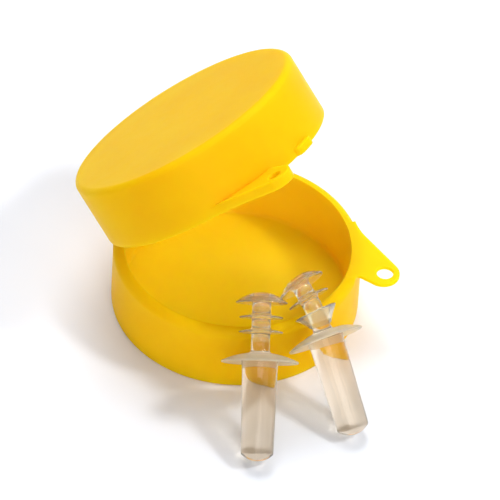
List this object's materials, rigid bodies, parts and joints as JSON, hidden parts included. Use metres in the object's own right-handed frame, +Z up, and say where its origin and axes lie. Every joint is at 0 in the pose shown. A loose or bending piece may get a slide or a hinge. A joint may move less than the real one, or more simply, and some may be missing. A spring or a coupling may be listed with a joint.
{
  "type": "earplug carry case with earplugs",
  "caption": "Round hinged carry case in soft yellow plastic with a keyring lug, and clear flanged reusable earplugs leaning on its open rim.",
  "frame": {"origin": "centre of the case's flat underside", "axes": "+Z up out of the case's mouth, the living hinge on the +Y side and the keyring lug towards -Y and +X"},
  "size_m": [0.0565, 0.0685, 0.0518],
  "materials": {
    "yellow_polyethylene": "satin, slightly translucent soft polyethylene",
    "clear_silicone": "clear moulded silicone, glossy, frosted at the wide flange"
  },
  "bodies": {
    "base": {"base_cup": "yellow_polyethylene", "keyring_lug": "yellow_polyethylene", "living_hinge": "yellow_polyethylene"},
    "lid": {"lid_cap": "yellow_polyethylene", "lid_tab": "yellow_polyethylene", "thumb_nib": "yellow_polyethylene", "lid_spigot": "yellow_polyethylene"},
    "left_plug": {"left_stem": "clear_silicone", "left_core": "clear_silicone", "left_base_flange": "clear_silicone", "left_inner_flange": "clear_silicone", "left_middle_flange": "clear_silicone", "left_tip": "clear_silicone"},
    "right_plug": {"right_stem": "clear_silicone", "right_core": "clear_silicone", "right_base_flange": "clear_silicone", "right_inner_flange": "clear_silicone", "right_middle_flange": "clear_silicone", "right_tip": "clear_silicone"}
  },
  "joints": [
    {"name": "lid_hinge", "type": "hinge", "parent": "base", "child": "lid", "pos_m": [0, 0.02223, 0.01375], "axis": [-1, 0, 0], "range_deg": [-26.5, 139.3], "deforming": ["living_hinge"]},
    {"name": "left_plug_lift", "type": "slide", "parent": "base", "child": "left_plug", "axis": [-0.4332, -0.4151, 0.8], "range_m": [0, 0.06]},
    {"name": "right_plug_lift", "type": "slide", "parent": "base", "child": "right_plug", "axis": [-0.2218, -0.5575, 0.8], "range_m": [0, 0.06]}
  ]
}
